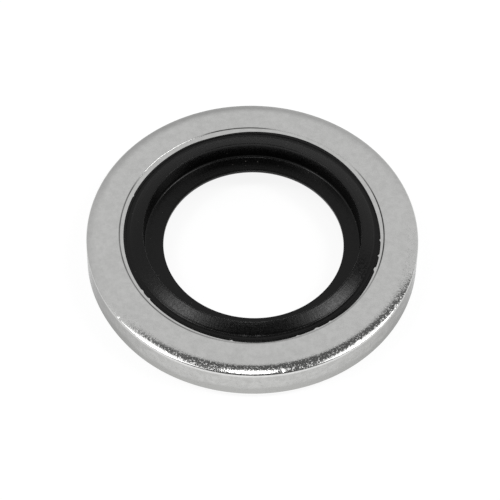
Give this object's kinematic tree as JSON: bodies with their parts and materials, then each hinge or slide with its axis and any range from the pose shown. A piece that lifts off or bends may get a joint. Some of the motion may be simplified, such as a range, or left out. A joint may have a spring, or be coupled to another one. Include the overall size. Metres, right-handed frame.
{
  "type": "bonded sealing washer",
  "caption": "Flat round seal: a stamped steel ring with a rubber bead bonded into its bore on both faces and a thin rubber centring lip at mid height.",
  "frame": {"origin": "on the axis of the washer, in the plane that it lies on, where the lower bead touches", "axes": "+Z along the axis, up through the face whose outer edge is rolled; X and Y in the plane of the washer"},
  "size_m": [0.0206, 0.0206, 0.0029],
  "materials": {
    "plated_steel": "zinc plated, satin, fine mottle",
    "black_rubber": "moulded nitrile rubber, dull satin"
  },
  "bodies": {
    "root": {"metal_ring": "plated_steel", "rubber_seal": "black_rubber"}
  },
  "joints": []
}
